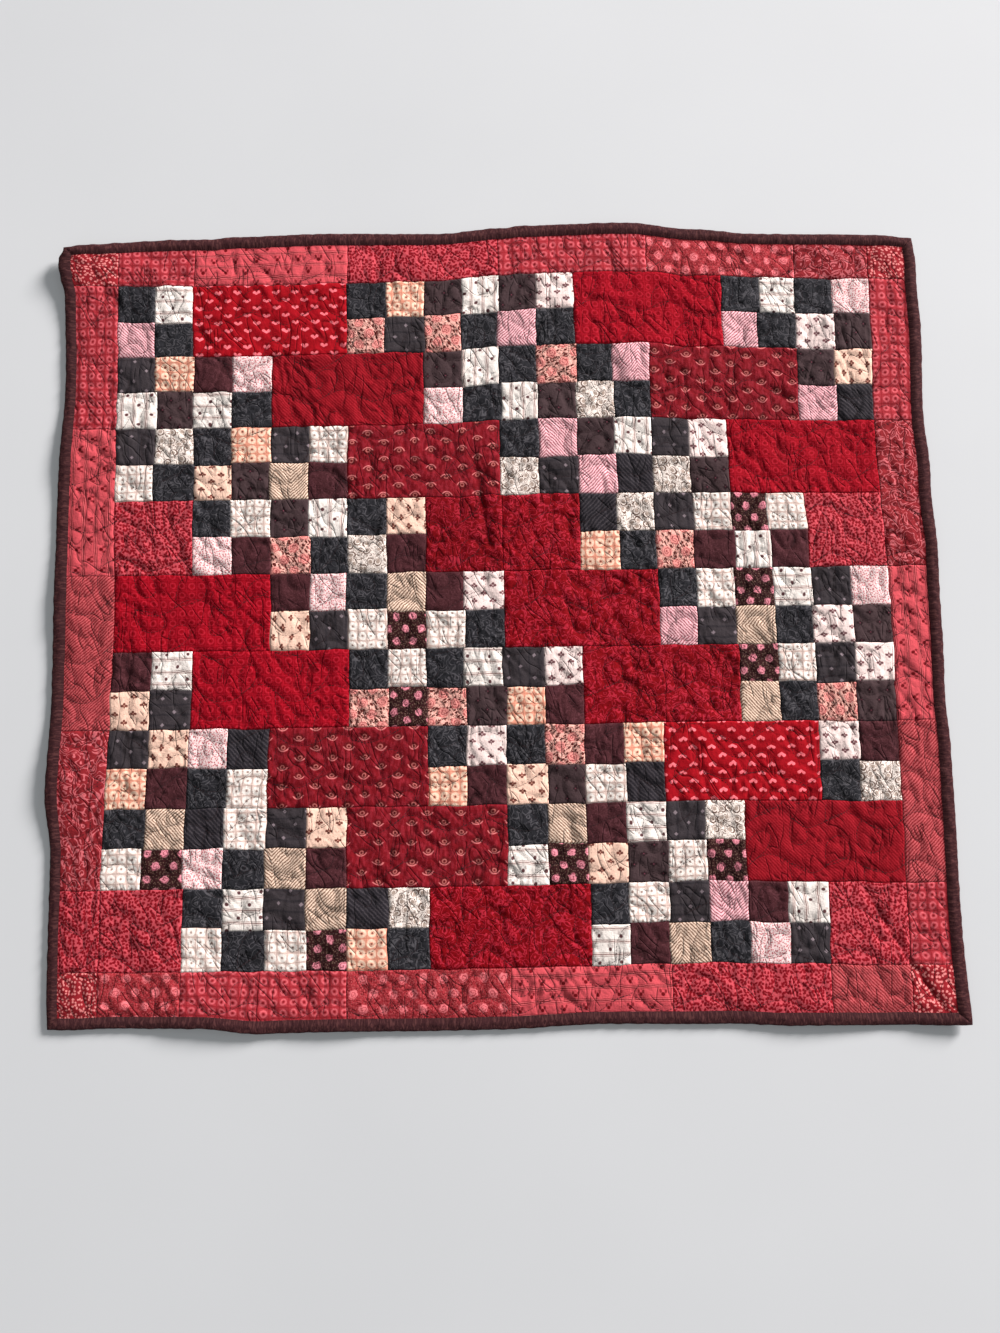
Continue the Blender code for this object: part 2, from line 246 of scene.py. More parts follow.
def quiltingRows():
    chance = np.random.default_rng(11)
    width = (rimRight - rimLeft) * square
    height = (rimBottom - rimTop) * square
    stride = quilting["wave"] / 2
    paths = []
    for row in range(-1, int(height / quilting["rowPitch"]) + 2):
        start = rimLeft * square - 60.0 + chance.uniform(-16, 16)
        base = rimTop * square + row * quilting["rowPitch"] + chance.uniform(-3, 3)
        points = []
        for half in range(int((width + 140.0) / stride)):
            sign = -1.0 if half % 2 else 1.0
            length = chance.uniform(*quilting["leafLength"])
            plump = chance.uniform(*quilting["leafWidth"])
            lean = radians(chance.uniform(*quilting["lean"]))
            s = np.linspace(0.0, 2.0 * pi, 44)
            out = length * (1.0 - np.cos(s)) / 2
            aside = plump * np.sin(s) * np.sin(s / 2) * sign
            axis = np.array([np.cos(lean), sign * np.sin(lean)])
            normal = np.array([-axis[1], axis[0]])
            foot = np.array([start + half * stride, base])
            points.append(foot + out[:, None] * axis + aside[:, None] * normal)
            t = np.linspace(0.04, 0.96, 16)
            swing = sign * quilting["swing"] * np.sin(pi * t)
            points.append(np.stack([foot[0] + t * stride, base + swing], axis=1))
        path = np.concatenate(points)
        for seed, axis in ((21, 0), (22, 1)):
            path[:, axis] += quilting["wander"] * waver(path[:, 0] / 55, path[:, 1] / 55, seed)
        path = path[np.r_[True, np.hypot(*np.diff(path, axis=0).T) > 1e-3]]
        run = np.r_[0.0, np.cumsum(np.hypot(*np.diff(path, axis=0).T))]
        even = np.arange(0.0, run[-1], quilting["spacing"])
        paths.append(walk(path, run, even))
    return paths


quiltingPaths = quiltingRows()
quiltingPoints = np.concatenate(quiltingPaths)
nearestStitch = kdtree.KDTree(len(quiltingPoints))
for number, (pointX, pointY) in enumerate(quiltingPoints):
    nearestStitch.insert((pointX, pointY, 0.0), number)
nearestStitch.balance()
print("quilting: %.1f m of line" % (len(quiltingPoints) * quilting["spacing"] / 1000))


def stitchDistance(x, y):
    find = nearestStitch.find
    return np.array([find((a, b, 0.0))[2] for a, b in zip(x.tolist(), y.tolist())])


# Loft of the quilted layers, in mm over the floor.
loft = {
    "stitched": 2.5,
    "puff": 2.0,
    "puffReach": 3.6,
    "seamDrop": 0.3,
    "seamReach": 1.3,
    "slantCrease": 1.3,
    "uprightCrease": 1.25,
    "ripple": 0.26,
    "swell": 0.5,
    "shoulder": 0.22,  # the roll beside a seam
    "heldHeight": 2.4,  # where the binding's seam holds the layers
    "heldReach": 9.0,
    "least": 1.3,
}


def creaseLines(cross, run, seed, tight):
    # narrow valleys where a stretched noise crosses zero, broken into short lengths
    band = np.abs(waver(cross, run, seed))
    valley = np.clip(1.0 - band / tight, 0.0, 1.0) ** 1.5
    broken = smooth(0.5 + 1.3 * waver(cross * 0.37 + 9, run * 0.8, seed + 1))
    return valley * broken


def faceHeight(across, down, away, edge):
    x, y = across * square, down * square
    puff = 1.0 - np.exp(-np.sqrt(away ** 2 + 0.3) / loft["puffReach"])
    height = loft["stitched"] + loft["puff"] * puff
    bend = 3.0 * waver(x / 30, y / 30, 31)
    cross, run = 0.80 * x - 0.60 * y + bend, 0.60 * x + 0.80 * y
    height -= loft["slantCrease"] * creaseLines(cross / 17, run / 58, 41, 0.14)
    height -= loft["uprightCrease"] * creaseLines((x + bend) / 19, y / 56, 51, 0.13)
    height += loft["ripple"] * (waver(cross / 11, run / 30, 61) + 0.5 * waver(x / 6, y / 10, 62))
    height += loft["swell"] * waver(x / 60, y / 60, 63)
    for fromAcross, fromDown, toAcross, toDown, depth, halfWidth in creases:
        stepX, stepY = toAcross - fromAcross, toDown - fromDown
        share = ((across - fromAcross) * stepX + (down - fromDown) * stepY) / (stepX ** 2 + stepY ** 2)
        share = np.clip(share, 0.0, 1.0)
        gap = np.hypot(across - fromAcross - share * stepX, down - fromDown - share * stepY)
        gap = gap * square / halfWidth
        height -= depth * np.exp(-gap * gap) * np.sin(pi * np.clip(share, 0.08, 0.92))
    height -= loft["seamDrop"] * np.exp(-(edge / loft["seamReach"]) ** 2)
    height += loft["shoulder"] * np.exp(-((edge - 4.5) / 2.5) ** 2)
    held = smooth(1.0 - (fromRim(across, down) - bound) * square / loft["heldReach"])
    height = height + (loft["heldHeight"] - height) * 0.75 * held
    return np.maximum(height, loft["least"])


class Yarn:
    # one value in a cloth's shader, so that sums on it read as sums
    def __init__(self, cloth, socket):
        self.cloth = cloth
        self.socket = socket

    def __neg__(self):
        return self.cloth.maths("SUBTRACT", 0.0, self)

    def __abs__(self):
        return self.cloth.maths("ABSOLUTE", self)


def addSum(method, operation):
    setattr(Yarn, "__%s__" % method, lambda self, other: self.cloth.maths(operation, self, other))
    setattr(Yarn, "__r%s__" % method, lambda self, other: self.cloth.maths(operation, other, self))


for method, operation in (("add", "ADD"), ("sub", "SUBTRACT"), ("mul", "MULTIPLY"), ("truediv", "DIVIDE"),
                          ("mod", "FLOORED_MODULO")):
    addSum(method, operation)


class Shader:
    # a material of nodes
    def __init__(self, name):
        self.material = bpy.data.materials.new(name)
        self.material.use_nodes = True
        self.tree = self.material.node_tree
        self.tree.nodes.clear()

    def node(self, kind, settings=None, sockets=None):
        made = self.tree.nodes.new(kind)
        for key, value in (settings or {}).items():
            setattr(made, key, value)
        for key, value in (sockets or {}).items():
            self.feed(made.inputs[key], value)
        return made

    def feed(self, socket, value):
        value = value.socket if isinstance(value, Yarn) else value
        if isinstance(value, bpy.types.NodeSocket):
            self.tree.links.new(value, socket)
        else:
            socket.default_value = value

    def dyed(self, mask, ground, figure):
        made = self.node("ShaderNodeMix", {"data_type": "RGBA"}, {0: mask, 6: ground, 7: figure})
        return made.outputs[2]

    def coat(self, sockets):
        skin = self.node("ShaderNodeBsdfPrincipled", None, sockets)
        self.node("ShaderNodeOutputMaterial", None, {0: skin.outputs[0]})
        return self.material


class Cloth(Shader):
    # with the cut fabric's own coordinates in centimetres, pulled a little out of true
    def __init__(self, name):
        super().__init__(name)
        cut = self.node("ShaderNodeUVMap", {"uv_map": "cut"}).outputs[0]
        pull = self.node("ShaderNodeTexNoise", {"noise_dimensions": "2D"},
                         {"Vector": cut, "Scale": 0.8, "Detail": 1.0})
        pullAcross, pullAlong = self.split(pull.outputs["Color"])
        across, along = self.split(cut)
        self.x = across + (pullAcross - 0.5) * 0.2
        self.y = along + (pullAlong - 0.5) * 0.2
        self.uv = self.place(self.x, self.y)

    def maths(self, operation, first, second=None, held=False):
        sockets = {0: first} if second is None else {0: first, 1: second}
        made = self.node("ShaderNodeMath", {"operation": operation, "use_clamp": held}, sockets)
        return Yarn(self, made.outputs[0])

    def most(self, first, second):
        return self.maths("MAXIMUM", first, second)

    def length(self, x, y):
        return self.maths("SQRT", x * x + y * y)

    def inside(self, value, limit, soft=0.02):
        # one where the value is under the limit, with a soft edge
        return self.maths("ADD", (limit - value) / soft, 0.5, held=True)

    def valley(self, value, width):
        # one along the line where a noise passes its middle, falling away smoothly
        off = (value - 0.5) / width
        return 1.0 / (off * off + 1.0)

    def attribute(self, name):
        made = self.node("ShaderNodeAttribute", {"attribute_type": "GEOMETRY", "attribute_name": name})
        return Yarn(self, made.outputs["Fac"])

    def split(self, vector):
        parts = self.node("ShaderNodeSeparateXYZ", sockets={0: vector}).outputs
        return Yarn(self, parts[0]), Yarn(self, parts[1])

    def place(self, x, y):
        return self.node("ShaderNodeCombineXYZ", sockets={0: x, 1: y}).outputs[0]

    def noise(self, scale, vector=None, detail=2.0, distortion=0.0):
        made = self.node("ShaderNodeTexNoise", {"noise_dimensions": "2D"},
                         {"Vector": vector or self.uv, "Scale": scale, "Detail": detail,
                          "Distortion": distortion})
        return Yarn(self, made.outputs[0])

    def grain(self, across, along, detail):
        # a noise drawn out along the threads
        return self.noise(1.0, self.place(self.x * across, self.y * along), detail)

    def specks(self, scale, vector=None):
        # how far each point lies from the nearest of many scattered points
        made = self.node("ShaderNodeTexVoronoi", {"voronoi_dimensions": "2D"},
                         {"Vector": vector or self.uv, "Scale": scale})
        return Yarn(self, made.outputs["Distance"])

    def strand(self, scale, turns, distortion=0.8, detail=1.0):
        # nought along curling lines, up to a half between them
        return abs((self.noise(scale, detail=detail, distortion=distortion) * turns) % 1.0 - 0.5)

    def tile(self, pitchAcross, pitchDown, stagger=0.0):
        # one motif's own coordinates, upwards positive
        row = self.maths("FLOOR", self.y / pitchDown)
        shifted = self.x + (row % 2.0) * (stagger * pitchAcross)
        column = self.maths("FLOOR", shifted / pitchAcross)
        return shifted - (column + 0.5) * pitchAcross, self.y - (row + 0.5) * pitchDown


def dye(*parts):
    # a colour as it looks in even light, 0 to 255
    shares = [part / 255 for part in parts]
    linear = [share / 12.92 if share < 0.04045 else ((share + 0.055) / 1.055) ** 2.4 for share in shares]
    return (*[min(part, 0.95) for part in linear], 1.0)


def ringPrint(cloth, dyes, pitch=0.93, inner=0.18, outer=0.38):
    ground, ring, eye, grid = dyes
    x, y = cloth.tile(pitch, pitch)
    reach = cloth.length(x, y)
    lines = cloth.inside(pitch / 2 - cloth.most(abs(x), abs(y)), 0.045, 0.05)
    colour = cloth.dyed(lines, ground, grid)
    band = cloth.inside(abs(reach - (inner + outer) / 2), (outer - inner) / 2, 0.08)
    colour = cloth.dyed(band, colour, ring)
    return cloth.dyed(cloth.inside(reach, 0.09, 0.07), colour, eye)


def heartPrint(cloth, dyes):
    ground, heart, spot, leaf = dyes
    x, y = cloth.tile(1.91, 0.83, 0.5)
    arms = abs(x)
    wing = cloth.inside(abs(y + 0.12 - arms * 0.62), 0.135, 0.05) * cloth.inside(arms, 0.28, 0.06)
    lobe = cloth.inside(cloth.length((arms - 0.235) * 0.9, y - 0.05), 0.145, 0.05)
    above = cloth.inside(cloth.length(x * 0.8, y - 0.27), 0.15, 0.10)
    colour = cloth.dyed(cloth.inside(cloth.specks(1.1), 0.35, 0.3) * 0.5, ground, leaf)
    colour = cloth.dyed(above * 0.9, colour, spot)
    return cloth.dyed(cloth.most(wing, lobe), colour, heart)


def shellPrint(cloth, dyes):
    # a ringed bud over a shallow cup, on a ground of dim upright fronds
    ground, cup, bud, leaf, shade = dyes
    x, y = cloth.tile(3.12, 0.93, 0.5)
    arc = cloth.inside(abs(cloth.length(x, y - 0.25) - 0.54), 0.055, 0.05) * cloth.inside(y, 0.02, 0.08)
    reach = cloth.length(x, (y - 0.02) * 1.1)
    halo = cloth.inside(cloth.length(x * 0.8, y - 0.08), 0.36, 0.14)
    frond = cloth.grain(3.6, 1.4, 1.0)
    colour = cloth.dyed(cloth.inside(0.52 - frond, 0.0, 0.10) * 0.7, ground, leaf)
    colour = cloth.dyed(halo * 0.65, colour, shade)
    colour = cloth.dyed(cloth.inside(abs(reach - 0.17), 0.055, 0.05) * 0.85, colour, bud)
    return cloth.dyed(arc, colour, cup)


def twillPrint(cloth, dyes, pitch=0.24, herring=0.0, share=0.5):
    across = cloth.x
    if herring:
        across = abs((cloth.x + 100.0 * herring) % (2.0 * herring) - herring)
    wale = ((across + cloth.y) / (pitch * 1.414)) % 1.0
    rough = (cloth.noise(8.0, detail=1.0) - 0.5) * 0.5
    return cloth.dyed(cloth.inside(abs(wale - 0.5) + rough, share * 0.5, 0.18), *dyes)


def vinePrint(cloth, dyes, size=1.0, width=0.15, turns=2.7):
    ground, curl, shade = dyes
    colour = cloth.dyed(cloth.inside(cloth.specks(2.2 / size), 0.30, 0.14) * 0.6, ground, shade)
    return cloth.dyed(cloth.inside(cloth.strand(1.5 / size, turns, 1.0, 0.0), width, 0.06), colour, curl)


def paisleyPrint(cloth, dyes):
    ground, line, fill = dyes
    seeds = cloth.node("ShaderNodeTexVoronoi", {"voronoi_dimensions": "2D"},
                       {"Vector": cloth.uv, "Scale": 1.05, "Randomness": 0.7})
    gap = cloth.node("ShaderNodeVectorMath", {"operation": "SUBTRACT"},
                     {0: cloth.uv, 1: seeds.outputs["Position"]})
    x, y = cloth.split(gap.outputs[0])
    turn = cloth.maths("ARCTAN2", y, x) + cloth.split(seeds.outputs["Color"])[0] * (2.0 * pi)
    reach = cloth.length(x, y)
    drop = reach / (0.62 + 0.38 * cloth.maths("COSINE", turn + reach * 2.5))
    scroll = cloth.inside(cloth.strand(1.6, 3.2, 1.0, 0.0), 0.13, 0.06)
    colour = cloth.dyed(scroll * 0.85, ground, line)
    colour = cloth.dyed(cloth.inside(drop, 0.56, 0.05), colour, ground)
    colour = cloth.dyed(cloth.inside(abs(drop - 0.46), 0.07, 0.04), colour, line)
    return cloth.dyed(cloth.inside(drop, 0.29, 0.06) * 0.85, colour, fill)


def trefoil(cloth, x, y, size):
    # two round leaves and a bud over a pointed foot
    leaves = cloth.length(abs(x) - size * 0.62, (y - size * 0.05) * 1.15)
    bud = cloth.length(x, y - size * 0.55)
    foot = abs(x) + (size * 0.15 - y) * 0.42
    colour = cloth.most(cloth.inside(leaves, size * 0.46, 0.06), cloth.inside(bud, size * 0.42, 0.06))
    return cloth.most(colour, cloth.inside(foot, size * 0.46, 0.06) * cloth.inside(y, size * 0.3, 0.06))


def sprigPrint(cloth, dyes, pitchAcross=1.85, pitchDown=0.80, size=0.32, dot=0.5):
    ground, leaf, eye = dyes
    x, y = cloth.tile(pitchAcross, pitchDown, 0.5)
    between = cloth.length(abs(x) - pitchAcross / 2, y)
    colour = cloth.dyed(cloth.inside(between, 0.05, 0.06) * dot, ground, leaf)
    colour = cloth.dyed(trefoil(cloth, x, y, size), colour, leaf)
    return cloth.dyed(cloth.inside(cloth.length(x, y - size * 0.1), size * 0.17, 0.06), colour, eye)


def starPrint(cloth, dyes):
    # dots far apart on dark cotton woven with faint lines
    ground, line, dot = dyes
    x, y = cloth.tile(2.55, 1.07, 0.5)
    rib = abs((cloth.x / 0.98) % 1.0 - 0.5)
    colour = cloth.dyed(cloth.inside(rib, 0.10, 0.10) * 0.8, ground, line)
    return cloth.dyed(cloth.inside(abs(x) + abs(y), 0.19, 0.10), colour, dot)


def stripePrint(cloth, dyes, leafy=0.4):
    ground, line, leaf, light = dyes
    x, y = cloth.tile(2.08, 1.20, 0.5)
    edge = 0.6 - abs(y)
    pair = cloth.most(cloth.inside(edge, 0.045, 0.035), cloth.inside(abs(edge - 0.15), 0.028, 0.035) * 0.8)
    berry = cloth.inside(cloth.length(x, (y + 0.10) * 0.9), 0.165, 0.07)
    leaves = cloth.inside(cloth.length((abs(x) - 0.22) * 1.5, y - 0.10 - abs(x) * 0.3), 0.17, 0.07)
    spray = cloth.inside(abs(cloth.length(x, y - 0.02) - 0.30), 0.025, 0.05) * cloth.inside(-y, 0.0, 0.1)
    colour = cloth.dyed(cloth.inside(edge, 0.11, 0.04) * 0.6, ground, light)
    colour = cloth.dyed(pair, colour, line)
    colour = cloth.dyed(cloth.most(spray * 0.5, leaves * leafy), colour, leaf)
    return cloth.dyed(berry, colour, leaf)


def rosePrint(cloth, dyes, pitchAcross=1.75, pitchDown=1.0, size=0.33, leaves=0.8, fleck=0.3, commas=0.0):
    ground, bloom, fold, light, leaf = dyes
    x, y = cloth.tile(pitchAcross, pitchDown, 0.5)
    turn = cloth.maths("ARCTAN2", y, x)
    reach = cloth.length(x, y) + (cloth.noise(4.5, detail=0.0) - 0.5) * 0.22
    petals = cloth.inside(reach, size, 0.09)
    swirl = cloth.inside(abs((reach * 4.0 + turn / (2.0 * pi)) % 1.0 - 0.5), 0.17, 0.16)
    seeds = cloth.specks(4.2)
    vines = cloth.inside(cloth.strand(1.6, 3.4, 1.2, 0.0), 0.14, 0.07)
    colour = cloth.dyed(vines * leaves, ground, leaf)
    if commas:
        slanted = cloth.place(cloth.x * 1.7 + cloth.y * 1.0, cloth.y * 0.9 - cloth.x * 0.5)
        colour = cloth.dyed(cloth.inside(cloth.specks(1.7, slanted), commas, 0.07), colour, leaf)
    colour = cloth.dyed(cloth.inside(seeds, 0.24, 0.14) * fleck, colour, light)
    colour = cloth.dyed(petals, colour, bloom)
    return cloth.dyed(petals * swirl * 0.8, colour, fold)


def speckPrint(cloth, dyes, scale=3.7, size=0.36):
    reach = cloth.specks(scale) + (cloth.noise(scale * 1.6, detail=0.0) - 0.5) * 0.45
    return cloth.dyed(cloth.inside(reach, size, 0.16), *dyes)


def plainPrint(cloth, dyes):
    faint = cloth.inside(cloth.strand(1.5, 5.0, 0.7), 0.12, 0.16)
    return cloth.dyed(faint * 0.7, *dyes)


cottons = {
    "blackVine": (vinePrint, [(42, 42, 46), (78, 76, 80), (28, 27, 31)], {"size": 1.05, "width": 0.13}),
    "blackTwill": (twillPrint, [(40, 37, 42), (67, 62, 66)], {"pitch": 0.32, "share": 0.35}),
    "charcoalSprig": (starPrint, [(60, 54, 57), (46, 42, 46), (134, 120, 126)], {}),
    "brownSprig": (sprigPrint, [(70, 54, 56), (46, 30, 33), (116, 58, 72)],
                   {"pitchAcross": 1.9, "pitchDown": 0.9}),
    "burgundy": (plainPrint, [(70, 35, 39), (96, 54, 60)], {}),
    "rosebud": (rosePrint, [(54, 25, 26), (228, 142, 156), (120, 36, 50), (170, 140, 120), (42, 20, 20)],
                {"size": 0.36, "pitchAcross": 1.65, "pitchDown": 1.2, "fleck": 0.25}),
    "sprigStripe": (stripePrint, [(254, 240, 232), (150, 118, 112), (98, 62, 64), (242, 224, 216)], {}),
    "creamRings": (ringPrint, [(228, 206, 196), (253, 241, 233), (150, 128, 120), (198, 172, 162)],
                   {"pitch": 0.92, "inner": 0.15}),
    "peachRings": (ringPrint, [(232, 160, 136), (255, 212, 186), (124, 70, 56), (214, 138, 114)],
                   {"pitch": 0.95, "inner": 0.17, "outer": 0.41}),
    "pinkSpeckle": (speckPrint, [(255, 220, 218), (200, 112, 118)], {"scale": 4.8, "size": 0.30}),
    "pinkTwill": (twillPrint, [(255, 196, 202), (160, 80, 92)], {"share": 0.40, "herring": 3.9}),
    "greyPaisley": (paisleyPrint, [(254, 236, 226), (116, 92, 82), (156, 134, 120)], {}),
    "peachSprig": (sprigPrint, [(252, 208, 186), (116, 62, 52), (220, 160, 140)], {}),
    "lilacSprig": (sprigPrint, [(254, 226, 220), (120, 78, 82), (230, 200, 196)],
                   {"pitchDown": 0.74, "size": 0.31}),
    "coralScroll": (rosePrint, [(250, 184, 170), (240, 154, 146), (142, 40, 46), (255, 214, 198),
                                (94, 34, 30)],
                    {"size": 0.50, "pitchAcross": 1.9, "pitchDown": 1.2, "leaves": 0.9, "commas": 0.33}),
    "tanTwill": (twillPrint, [(240, 212, 190), (132, 98, 80)], {"share": 0.46, "herring": 3.9}),
    "hearts": (heartPrint, [(164, 13, 27), (252, 120, 130), (124, 3, 12), (150, 8, 20)], {}),
    "foulard": (ringPrint, [(144, 2, 20), (174, 26, 44), (134, 0, 14), (162, 14, 34)],
                {"inner": 0.20, "outer": 0.33}),
    "twill": (twillPrint, [(132, 6, 20), (160, 30, 42)], {"share": 0.40}),
    "shells": (shellPrint, [(124, 18, 28), (212, 116, 116), (186, 104, 98), (146, 36, 48), (82, 18, 20)], {}),
    "vine": (vinePrint, [(130, 5, 16), (176, 36, 54), (104, 1, 8)], {}),
    "speckle": (speckPrint, [(202, 78, 88), (134, 16, 28)], {"scale": 3.4, "size": 0.43}),
    "coralRings": (ringPrint, [(168, 52, 60), (208, 92, 100), (126, 20, 28), (152, 36, 44)],
                   {"inner": 0.17, "outer": 0.33}),
    "coralStripe": (stripePrint, [(214, 84, 92), (122, 24, 32), (112, 12, 20), (230, 114, 118)],
                    {"leafy": 0.8}),
    "coralRoses": (rosePrint, [(168, 52, 59), (236, 122, 128), (162, 42, 50), (232, 122, 124), (100, 10, 16)],
                   {"size": 0.42, "pitchAcross": 1.85, "pitchDown": 1.35}),
    "coralVine": (vinePrint, [(142, 38, 44), (204, 102, 108), (116, 24, 32)], {"size": 1.25}),
    "coralTwill": (twillPrint, [(138, 36, 42), (192, 88, 92)], {}),
    "cornerDots": (speckPrint, [(150, 34, 42), (236, 140, 138)], {"scale": 2.8, "size": 0.29}),
}
# The cottons' fading, threads and fine creases, with painted shade in the hollows and creases.
washAndShade = {
    "mottle": 0.16,  # uneven fading from one place to the next
    "hollowShade": 0.76,  # how dark the painted shade in the stitched hollows is
    "thread": 26.0,  # threads to a centimetre
    "roughness": 0.88,
    "slant": (0.66, 0.19, 0.020, 0.90),  # fine creases: across and along the crease, width, depth in mm
    "upright": (0.62, 0.17, 0.018, 0.80),
    "shade": 0.38,  # how far a fine crease darkens
}


def fineCreases(cloth):
    # short sharp wrinkles, most of them running down to the right, in the quilt's own coordinates
    lay = cloth.node("ShaderNodeUVMap", {"uv_map": "lay"}).outputs[0]
    u, v = cloth.split(lay)

    def wrinkles(kind, across, along, shift, scale, where):
        acrossScale, alongScale, width, depth = washAndShade[kind]
        spot = cloth.place(across * acrossScale + shift, along * alongScale)
        broken = cloth.inside(0.51 - cloth.noise(scale, where, 1.0), 0.0, 0.08)
        return cloth.valley(cloth.noise(1.0, spot, 1.0, 0.35), width) * broken * depth

    slant = wrinkles("slant", u * 0.8 - v * 0.6, u * 0.6 + v * 0.8, 0.0, 0.42, lay)
    upright = wrinkles("upright", u, v, 40.0, 0.36, cloth.place(u + 70.0, v))
    return slant, upright, (cloth.noise(2.2, lay, 1.0) - 0.5) * 0.5


def finishCloth(cloth, colour, grain=1.0, creased=True):
    # fading, the painted shade of the hollows and the wrinkles, the wrinkles' relief, and the threads' own
    # relief
    crown = cloth.attribute("crown")
    tone = cloth.attribute("tone")
    patchy = cloth.noise(0.35, detail=3.0)
    fine = cloth.noise(11.0, detail=2.0)
    # painted shade: darker in the hollows where the crown is low, lighter on the crowns
    light = (washAndShade["hollowShade"] + (1.0 - washAndShade["hollowShade"]) * crown) * tone
    light = light * (1.0 - washAndShade["mottle"] * 0.5 + washAndShade["mottle"] * patchy) * (0.93 + 0.14 * fine)
    warp = cloth.grain(washAndShade["thread"], 3.0, 0.0)
    weft = cloth.grain(3.0, washAndShade["thread"], 0.0)
    height = (warp + weft + fine * 0.6) * (0.14 * grain)
    if creased:
        first, second, pucker = fineCreases(cloth)
        # painted shade along the fine creases, on top of their bump relief
        light = light * (1.0 - washAndShade["shade"] * cloth.maths("MINIMUM", first + second, 1.0))
        height = height - first - second + pucker
    shade = cloth.node("ShaderNodeVectorMath", {"operation": "SCALE"}, {0: colour, "Scale": light})
    relief = cloth.node("ShaderNodeBump", None, {"Strength": 1.0, "Distance": 0.001, "Height": height})
    rough = washAndShade["roughness"] - 0.10 * crown + 0.10 * fine
    return cloth.coat({"Base Color": shade.outputs[0], "Roughness": rough, "Normal": relief.outputs[0],
                       "Specular IOR Level": 0.08})


def cottonMaterial(name):
    cloth = Cloth(name + "Cotton")
    printing, dyes, settings = cottons[name]
    return finishCloth(cloth, printing(cloth, [dye(*part) for part in dyes], **settings))


# The patches: name, left, top, right, bottom, quarter turns, tone.
def listPatches():
    chance = np.random.default_rng(5)
    patches = []

    def add(name, left, top, right, bottom, turns, tone=None):
        tone = chance.uniform(0.93, 1.05) if tone is None else tone
        patches.append((name, left, top, right, bottom, turns, tone))

    for block, groups in enumerate(blockRows):
        ends = [group[0] for group in groups[1:]] + [columns]
        top = 2 * block
        for (first, *cloths), last in zip(groups, ends):
            if len(cloths) == 1:
                turns = 2 if (cloths[0], block) in (("shells", 2), ("hearts", 6)) else 0
                dark = (cloths[0], block, first) == ("vine", 3, 8)
                add(cloths[0], first, top, last, top + 2, turns, 0.82 if dark else chance.uniform(0.97, 1.03))
                continue
            for line, letters in enumerate(cloths):
                for step, letter in enumerate(letters):
                    turns = {"V": 1, "E": 1, "W": 0}.get(letter, int(chance.integers(0, 4)))
                    if letter in "LPO" and turns % 2:
                        turns -= 1
                    tone = 0.93 if letter == "E" else None
                    add(cottonNames[letter], first + step, top + line, first + step + 1, top + line + 1,
                        turns, tone)
    inset = bound - 0.04  # the patchwork reaches a little under the binding
    left, right = rimLeft + inset, rimRight - inset
    high, low = rimTop + inset, rimBottom - inset
    bands = {"top": (high, 0), "bottom": (rows, low), "left": (left, 0), "right": (columns, right)}
    for side, runs in borderRuns.items():
        near, far = bands[side]
        for name, start, end in runs:
            if side in ("top", "bottom"):
                add(name, start, near, end, far, 2 * ((side, name) == ("bottom", "coralRoses")))
            else:
                add(name, near, start, far, end, 1)
    for top, bottom in ((high, 0), (rows, low)):
        add("cornerDots", left, top, 0, bottom, 0)
        add("cornerDots", columns, top, right, bottom, 0)
    return patches


patches = listPatches()
slips = np.random.default_rng(8)
slipAcross = slips.normal(0.0, plan["seamSlip"], (rows // 2, 2, columns + 1))
slipDown = slips.normal(0.0, plan["seamSlip"], (rows // 2, columns + 1))
for block, groups in enumerate(blockRows):
    for first, *cloths in groups:
        slipAcross[block, 1, first] = slipAcross[block, 0, first]  # a rectangle's end is one straight seam
slipAcross[:, :, 0] = slipAcross[:, :, -1] = 0.0


def patchCorners(patch):
    # the four edges of a patch after its seams have slipped
    left, top, right, bottom = patch[1:5]
    if 0 <= left < columns and 0 <= top < rows:
        block, line = divmod(int(top), 2)
        if bottom - top == 1:
            slip = slipDown[block, int(left)]
            top, bottom = top + slip * line, bottom + slip * (1 - line)
        left, right = [end + slipAcross[block, line, int(end)] for end in (left, right)]
    return left, top, right, bottom


def addGrid(bm, across, down, shift=(0.5, 0.5, 0.0)):
    return bmesh.ops.create_grid(bm, x_segments=across, y_segments=down, size=0.5,
                                 matrix=Matrix.Translation(shift))["verts"]


def unpack(name, bm):
    # a mesh and where its vertices stand
    mesh = bpy.data.meshes.new(name)
    bm.to_mesh(mesh)
    bm.free()
    return mesh, readVertices(mesh)


def readVertices(mesh):
    spots = np.empty(len(mesh.vertices) * 3)
    mesh.vertices.foreach_get("co", spots)
    return spots.reshape(-1, 3)


def repeatMesh(name, bm, count):
    # copies of one small shape, stacked a metre apart until they are laid
    maker = bpy.data.objects.new(name + "Maker", unpack(name + "Single", bm)[0])
    bpy.context.scene.collection.objects.link(maker)
    copies = maker.modifiers.new("copies", "ARRAY")
    copies.count = count
    copies.use_relative_offset = False
    copies.use_constant_offset = True
    copies.constant_offset_displace = (0.0, 0.0, 1.0)
    made = bpy.data.meshes.new_from_object(maker.evaluated_get(bpy.context.evaluated_depsgraph_get()))
    made.name = name
    bpy.data.objects.remove(maker)
    return made, readVertices(made)


def writeMap(mesh, name, spots):
    # "cut" is the fabric's own coordinates and "lay" the quilt's, both in centimetres
    corners = np.empty(len(mesh.loops), dtype=np.int32)
    mesh.loops.foreach_get("vertex_index", corners)
    layer = mesh.uv_layers.new(name=name)
    layer.data.foreach_set("uv", spots[corners].astype(np.float32).ravel())


